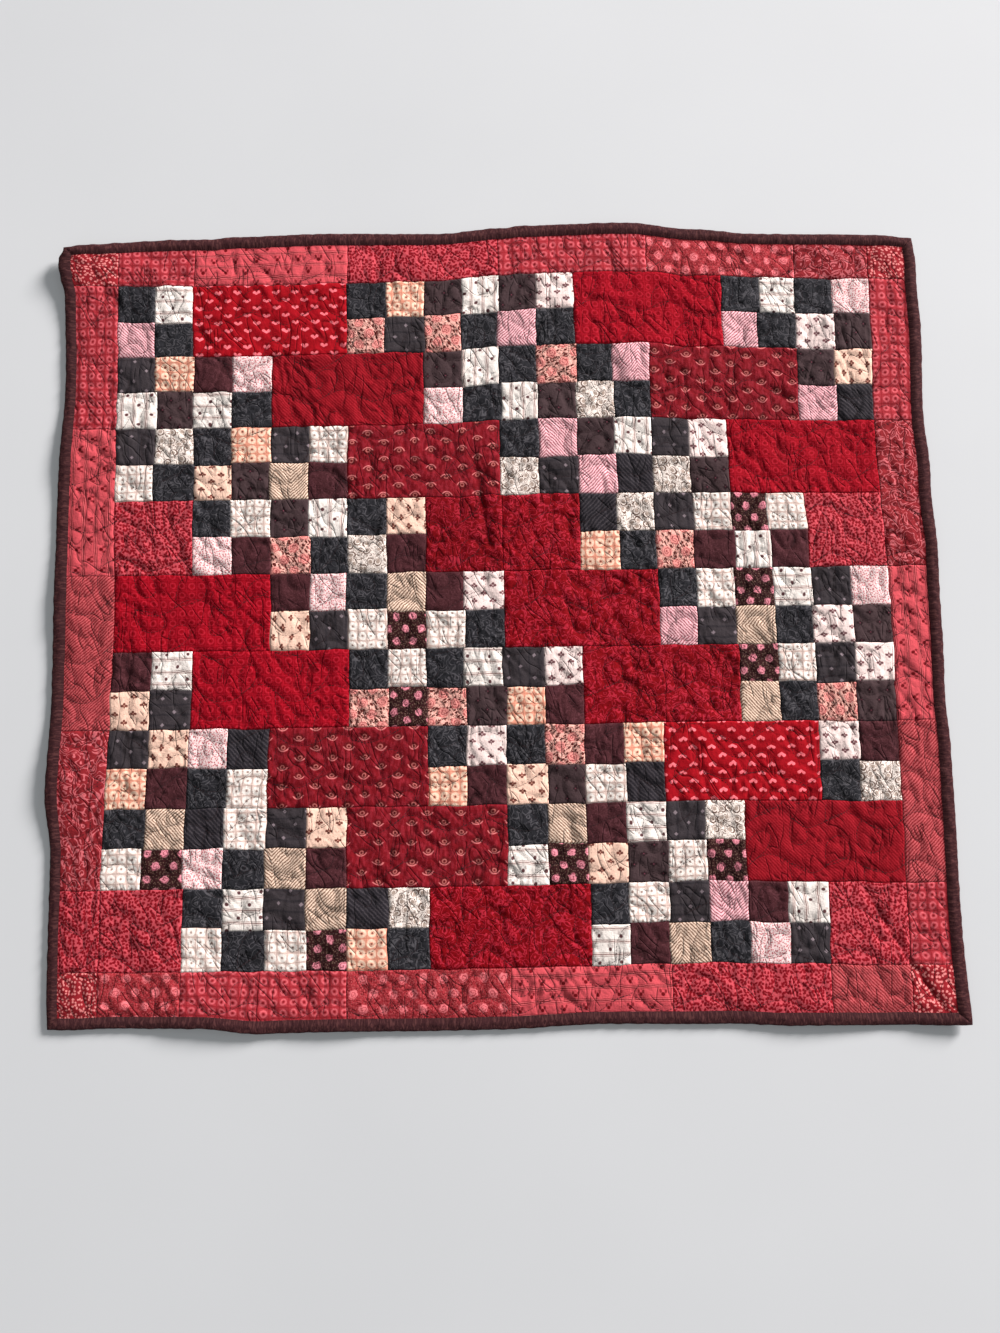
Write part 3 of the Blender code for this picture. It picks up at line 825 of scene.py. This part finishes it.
def makePiece(mesh, places, crown, cut, material, tone=1.0, lay=None):
    mesh.vertices.foreach_set("co", (np.stack(places, axis=1) * 0.001).ravel())
    for name, values in (("crown", np.clip(crown, 0.0, 1.0)), ("tone", tone + 0 * crown)):
        layer = mesh.attributes.new(name, "FLOAT", "POINT")
        layer.data.foreach_set("value", values.astype(np.float32))
    writeMap(mesh, "cut", np.stack(cut, axis=1))
    if lay:
        writeMap(mesh, "lay", np.stack(lay, axis=1))
    mesh.update()
    mesh.materials.append(material)
    mesh.shade_smooth()
    piece = bpy.data.objects.new(mesh.name, mesh)
    bpy.context.scene.collection.objects.link(piece)
    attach(piece, "root")
    return piece


def sewFabric(name):
    # every patch of one cotton: a fine grid with its turned edge below it
    mine = [patch for patch in patches if patch[0] == name]
    bm = bmesh.new()
    for number, patch in enumerate(mine):
        left, top, right, bottom = patch[1:5]
        across = max(4, round((right - left) * plan["cells"]))
        down = max(4, round((bottom - top) * plan["cells"]))
        made = addGrid(bm, across, down, (0.5, 0.5, number))
        rim = {edge for vert in made for edge in vert.link_edges if edge.is_boundary}
        skirt = bmesh.ops.extrude_edge_only(bm, edges=list(rim))["geom"]
        low = [part for part in skirt if isinstance(part, bmesh.types.BMVert)]
        bmesh.ops.translate(bm, verts=low, vec=(0.0, 0.0, 0.25))
    mesh, spots = unpack(name + "Patches", bm)
    number = np.floor(spots[:, 2] + 0.1).astype(int)
    turned = (spots[:, 2] - number) > 0.1
    corners = np.array([patchCorners(patch) for patch in mine])[number]
    right, below = spots[:, 0], 1.0 - spots[:, 1]
    across = corners[:, 0] + (corners[:, 2] - corners[:, 0]) * right
    down = corners[:, 1] + (corners[:, 3] - corners[:, 1]) * below
    wide = (corners[:, 2] - corners[:, 0]) * square
    tall = (corners[:, 3] - corners[:, 1]) * square
    edge = np.minimum(np.minimum(right, 1 - right) * wide, np.minimum(below, 1 - below) * tall)
    away = stitchDistance(across * square, down * square)
    height = faceHeight(across, down, away, edge)
    x, y = lie(across, down)
    z = lift(across, down) + height - turned
    tones = np.array([patch[6] for patch in mine])[number]
    chance = np.random.default_rng(sum(map(ord, name)))
    starts = chance.uniform(0.0, 40.0, (len(mine), 2))[number]
    quarter = np.array([patch[5] for patch in mine])[number] * pi / 2
    u, v = right * wide / 10, -below * tall / 10
    cut = (u * np.cos(quarter) - v * np.sin(quarter) + starts[:, 0],
           u * np.sin(quarter) + v * np.cos(quarter) + starts[:, 1])
    lay = (across * square / 10, down * square / 10)
    # the crown sets the painted shade of the hollows and the painted light on the puffs
    crown = (height - 1.8) / 2.6
    return makePiece(mesh, (x, y, z), crown, cut, cottonMaterial(name), tones, lay)


fabricPieces = [sewFabric(name) for name in cottons]
fabricFaces = sum(len(piece.data.polygons) for piece in fabricPieces)
print("patchwork: %d patches of %d cottons, %d faces" % (len(patches), len(cottons), fabricFaces))


# The binding: one long strip folded over each side and mitred at the corners.
binding = {
    "segments": 420,
    "around": 14,
    "top": 5.4,
    "lengths": (870.0, 790.0),  # mm: of the top and bottom strips, of the strips at the sides
    "sewnDrop": 2.3,
    "cornerDrop": 0.9,
    "cornerReach": 1.6,
    "cockle": 0.32,
    "dyes": [dye(66, 36, 39), dye(96, 58, 57), dye(42, 20, 24)],
    "tones": [1.10, 1.02, 0.89, 0.78],  # top, right, bottom, left: painted light and shade, brighter on the strips facing the light and darker on those facing away
}


def bindingMaterial():
    cloth = Cloth("bindingCotton")
    dyes = binding["dyes"]
    streak = cloth.grain(5.0, 1.6, 2.0)
    fleck = cloth.grain(9.0, 3.0, 1.0)
    colour = cloth.dyed(cloth.inside(0.56 - streak, 0.0, 0.10) * 0.75, dyes[0], dyes[1])
    colour = cloth.dyed(cloth.inside(fleck, 0.40, 0.10) * 0.6, colour, dyes[2])
    return finishCloth(cloth, colour, creased=False)


def foldBinding():
    bm = bmesh.new()
    for number in range(4):
        made = addGrid(bm, binding["segments"], binding["around"], (0.5, 0.5, number))
        if number > 1:
            inner = {face for vert in made for face in vert.link_faces}
            bmesh.ops.reverse_faces(bm, faces=list(inner))
    mesh, spots = unpack("binding", bm)
    number = np.round(spots[:, 2]).astype(int)
    around = pi * spots[:, 1]  # 0 at the sewn edge on the face, pi at the sewn edge on the back
    inward = bound * (1.0 - np.abs(np.sin(around)) ** 0.75)
    rise = 0.5 + 0.5 * np.sign(np.cos(around)) * np.abs(np.cos(around)) ** 0.55
    forward = spots[:, 0]
    runAcross = rimLeft + inward + (rimRight - rimLeft - 2 * inward) * forward
    runDown = rimTop + inward + (rimBottom - rimTop - 2 * inward) * forward
    across = np.choose(number, [runAcross, rimRight - inward, runAcross, rimLeft + inward])
    down = np.choose(number, [rimTop + inward, runDown, rimBottom - inward, runDown])
    x, y = lie(across, down)
    share = inward / bound
    sewn = smooth((share - 0.62) / 0.38) * (np.cos(around) > 0)
    tall = binding["top"] - binding["sewnDrop"] * sewn
    run = np.where(number % 2 == 0, across, down) * square
    cockle = waver(run / 7.0, share * 1.5, 71) + 0.5 * waver(run / 3.1, share * 2.0, 72)
    roll = np.abs(np.sin(around)) ** 0.5
    tall = tall + binding["cockle"] * cockle * 2.0 * rise * (0.4 + roll)
    ends = np.minimum(forward, 1 - forward) * np.where(number % 2 == 0, *binding["lengths"])
    tall = tall - binding["cornerDrop"] * np.exp(-(ends / binding["cornerReach"]) ** 2) * rise
    z = lift(across, down) + 0.1 + (tall - 0.1) * rise
    outward = 0.5 * waver(run / 9.0, 3.0, 73) * roll
    x = x + np.choose(number, [0 * x, outward, 0 * x, -outward])
    y = y + np.choose(number, [outward, 0 * x, -outward, 0 * x])
    # the crown sets the painted shade: darker along the sewn edge and in the cockles' hollows
    crown = 0.35 + 0.65 * (1 - sewn) * (0.55 + 0.45 * cockle)
    cut = (run / 10 + 30.0 * number, spots[:, 1] * 3.0)
    # painted light and shade: each strip lighter or darker by how it faces the light
    tone = np.choose(number, binding["tones"])
    return makePiece(mesh, (x, y, z), crown, cut, bindingMaterial(), tone)


bindingPiece = foldBinding()
print("binding: %d faces" % len(bindingPiece.data.polygons))


# The back: one plain cotton, dimpled by the quilting.
backing = {
    "cells": ((190, 173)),
    "inset": 0.12,
    "dimple": 0.5,
    "tuckedIn": 0.7,  # how far its rim rises inside the binding, in mm
    "dye": dye(196, 176, 158),
}


def backingMaterial():
    cloth = Cloth("backingCotton")
    slub = cloth.grain(0.6, 8.0, 2.0)
    colour = cloth.dyed(cloth.inside(slub, 0.46, 0.2) * 0.25, backing["dye"], dye(170, 148, 130))
    return finishCloth(cloth, colour, creased=False)


def layBacking():
    bm = bmesh.new()
    addGrid(bm, *backing["cells"])
    bmesh.ops.reverse_faces(bm, faces=bm.faces)
    mesh, spots = unpack("backing", bm)
    inset = backing["inset"]
    across = rimLeft + inset + (rimRight - rimLeft - 2 * inset) * spots[:, 0]
    down = rimBottom - inset - (rimBottom - rimTop - 2 * inset) * spots[:, 1]
    away = stitchDistance(across * square, down * square)
    dimple = backing["dimple"] * np.exp(-(away / 1.8) ** 2)
    tuckedIn = backing["tuckedIn"] * smooth((bound + 0.12 - fromRim(across, down)) / 0.12)
    x, y = lie(across, down)
    z = lift(across, down) + 0.15 + dimple + tuckedIn
    cut = (across * square / 10, -down * square / 10)
    # the crown sets the painted shade, darker in the quilting's dimples
    return makePiece(mesh, (x, y, z), 1.0 - dimple, cut, backingMaterial())


backingPiece = layBacking()
print("backing: %d faces" % len(backingPiece.data.polygons))


# The quilting thread: short raised stitches along every line.
thread = {"stitch": 3.1, "gap": 0.55, "width": 0.62, "height": 0.30, "dye": dye(52, 38, 40)}


def threadMaterial():
    cloth = Cloth("quiltingThread")
    ply = abs(((cloth.x * 6.0 + cloth.y * 4.0) % 1.0) - 0.5)
    colour = cloth.dyed(cloth.inside(ply, 0.16, 0.2) * 0.5, thread["dye"], dye(30, 20, 22))
    return finishCloth(cloth, colour, 0.4, creased=False)


# which patch each square belongs to, with the border as one more square all round
boxes = np.array([patch[1:5] for patch in patches])
owner = np.zeros((rows + 2, columns + 2), dtype=int)
for index, (left, top, right, bottom) in enumerate(boxes):
    firstRow, lastRow = int(top) + 1 if top >= 0 else 0, int(np.ceil(bottom)) + 1
    firstColumn, lastColumn = int(left) + 1 if left >= 0 else 0, int(np.ceil(right)) + 1
    owner[firstRow:lastRow, firstColumn:lastColumn] = index


def seamDistance(across, down):
    row = np.clip(np.floor(down).astype(int) + 1, 0, rows + 1)
    column = np.clip(np.floor(across).astype(int) + 1, 0, columns + 1)
    box = boxes[owner[row, column]]
    gap = np.minimum(np.minimum(across - box[:, 0], box[:, 2] - across),
                     np.minimum(down - box[:, 1], box[:, 3] - down))
    return np.maximum(gap, 0.0) * square


def surfaceAt(x, y):
    across, down = x / square, y / square
    height = faceHeight(across, down, np.zeros_like(x), seamDistance(across, down))
    layX, layY = lie(across, down)
    return np.stack([layX, layY, lift(across, down) + height], axis=1)


def sewStitches():
    starts, ends = [], []
    every = thread["stitch"]
    for path in quiltingPaths:
        stations = np.arange(len(path))
        count = int((len(path) - 1) * quilting["spacing"] / every)
        run = np.arange(count) * every / quilting["spacing"]
        starts.append(walk(path, stations, run))
        ends.append(walk(path, stations, run + (every - thread["gap"]) / quilting["spacing"]))
    starts, ends = np.concatenate(starts), np.concatenate(ends)
    band = (bound + 0.02) * square
    low = np.array([rimLeft, rimTop]) * square + band
    high = np.array([rimRight, rimBottom]) * square - band
    kept = np.all((starts > low) & (starts < high) & (ends > low) & (ends < high), axis=1)
    starts, ends = starts[kept], ends[kept]
    head, tail = surfaceAt(starts[:, 0], starts[:, 1]), surfaceAt(ends[:, 0], ends[:, 1])
    middle = surfaceAt(*((starts + ends) / 2).T)
    bm = bmesh.new()
    addGrid(bm, 2, 2, (0.5, 0.0, 0.0))
    mesh, spots = repeatMesh("quiltingStitches", bm, len(starts))
    number = np.round(spots[:, 2]).astype(int)
    share, side = spots[:, :1], spots[:, 1]
    line = np.where(share < 0.5, head[number] + (middle - head)[number] * share * 2,
                    middle[number] + (tail - middle)[number] * (share * 2 - 1))
    step = (tail - head)[number, :2]
    step = step / np.maximum(np.hypot(*step.T), 1e-6)[:, None]
    taper = 1.0 - 0.55 * np.abs(2 * share[:, 0] - 1)
    line[:, 0] -= step[:, 1] * side * thread["width"] * taper
    line[:, 1] += step[:, 0] * side * thread["width"] * taper
    line[:, 2] += thread["height"] * (1.0 - 2.2 * np.abs(side)) * taper + 0.10
    cut = (share[:, 0] * 0.3 + number * 0.31, side * 0.1)
    # the crown sets the painted shade, darker along the sides of each stitch
    return makePiece(mesh, line.T, 1.0 - np.abs(side), cut, threadMaterial())


stitchPiece = sewStitches()
print("stitches: %d" % (len(stitchPiece.data.polygons) // 4))

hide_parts("quilt_body")
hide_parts("binding_top", "binding_right", "binding_bottom", "binding_left")


# A plain pale floor, soft light from the upper right, and the camera above.
studio = {
    "key": {"place": (8.3, 6.9, 4.15), "size": 3.7, "power": 3060.0, "colour": (1.0, 0.95, 0.94)},
    "fill": {"place": (-0.8, -1.2, 3.6), "size": 2.4, "power": 18.0, "colour": (1.0, 1.0, 1.0)},
    "world": 0.27,
}


def layFloor():
    bm = bmesh.new()
    bmesh.ops.create_grid(bm, x_segments=8, y_segments=8, size=3.0)
    mesh = unpack("floor", bm)[0]
    plaster = Shader("palePlaster")
    where = plaster.node("ShaderNodeTexCoord").outputs["Object"]
    cloud = plaster.node("ShaderNodeTexNoise", None, {"Vector": where, "Scale": 2.2, "Detail": 6.0})
    colour = plaster.dyed(cloud.outputs[0], dye(199, 202, 204), dye(210, 213, 215))
    mesh.materials.append(plaster.coat({"Base Color": colour, "Roughness": 0.85}))
    floor = bpy.data.objects.new("floor", mesh)
    bpy.context.scene.collection.objects.link(floor)


def hangLight(name):
    settings = studio[name]
    light = bpy.data.lights.new(name, "AREA")
    light.shape = "DISK"
    light.size = settings["size"]
    light.energy = settings["power"]
    light.color = settings["colour"]
    lamp = bpy.data.objects.new(name, light)
    lamp.location = settings["place"]
    lamp.rotation_euler = (-Vector(settings["place"])).to_track_quat("-Z", "Y").to_euler()
    bpy.context.scene.collection.objects.link(lamp)


layFloor()
hangLight("key")
hangLight("fill")
world = bpy.data.worlds.new("studio")
world.use_nodes = True
world.node_tree.nodes["Background"].inputs[0].default_value = (0.96, 0.98, 1.0, 1.0)
world.node_tree.nodes["Background"].inputs[1].default_value = studio["world"]
bpy.context.scene.world = world
bpy.context.scene.view_settings.view_transform = "Standard"

view = {"place": (-0.02286, -0.22653, 1.15932), "turn": (8.382, -1.054, -1.016), "lens": 32.41}
camera = bpy.data.objects.new("camera", bpy.data.cameras.new("camera"))
camera.data.sensor_width = 36.0
camera.data.lens = view["lens"]
camera.location = view["place"]
camera.rotation_euler = [radians(turn) for turn in view["turn"]]
bpy.context.scene.collection.objects.link(camera)
bpy.context.scene.camera = camera
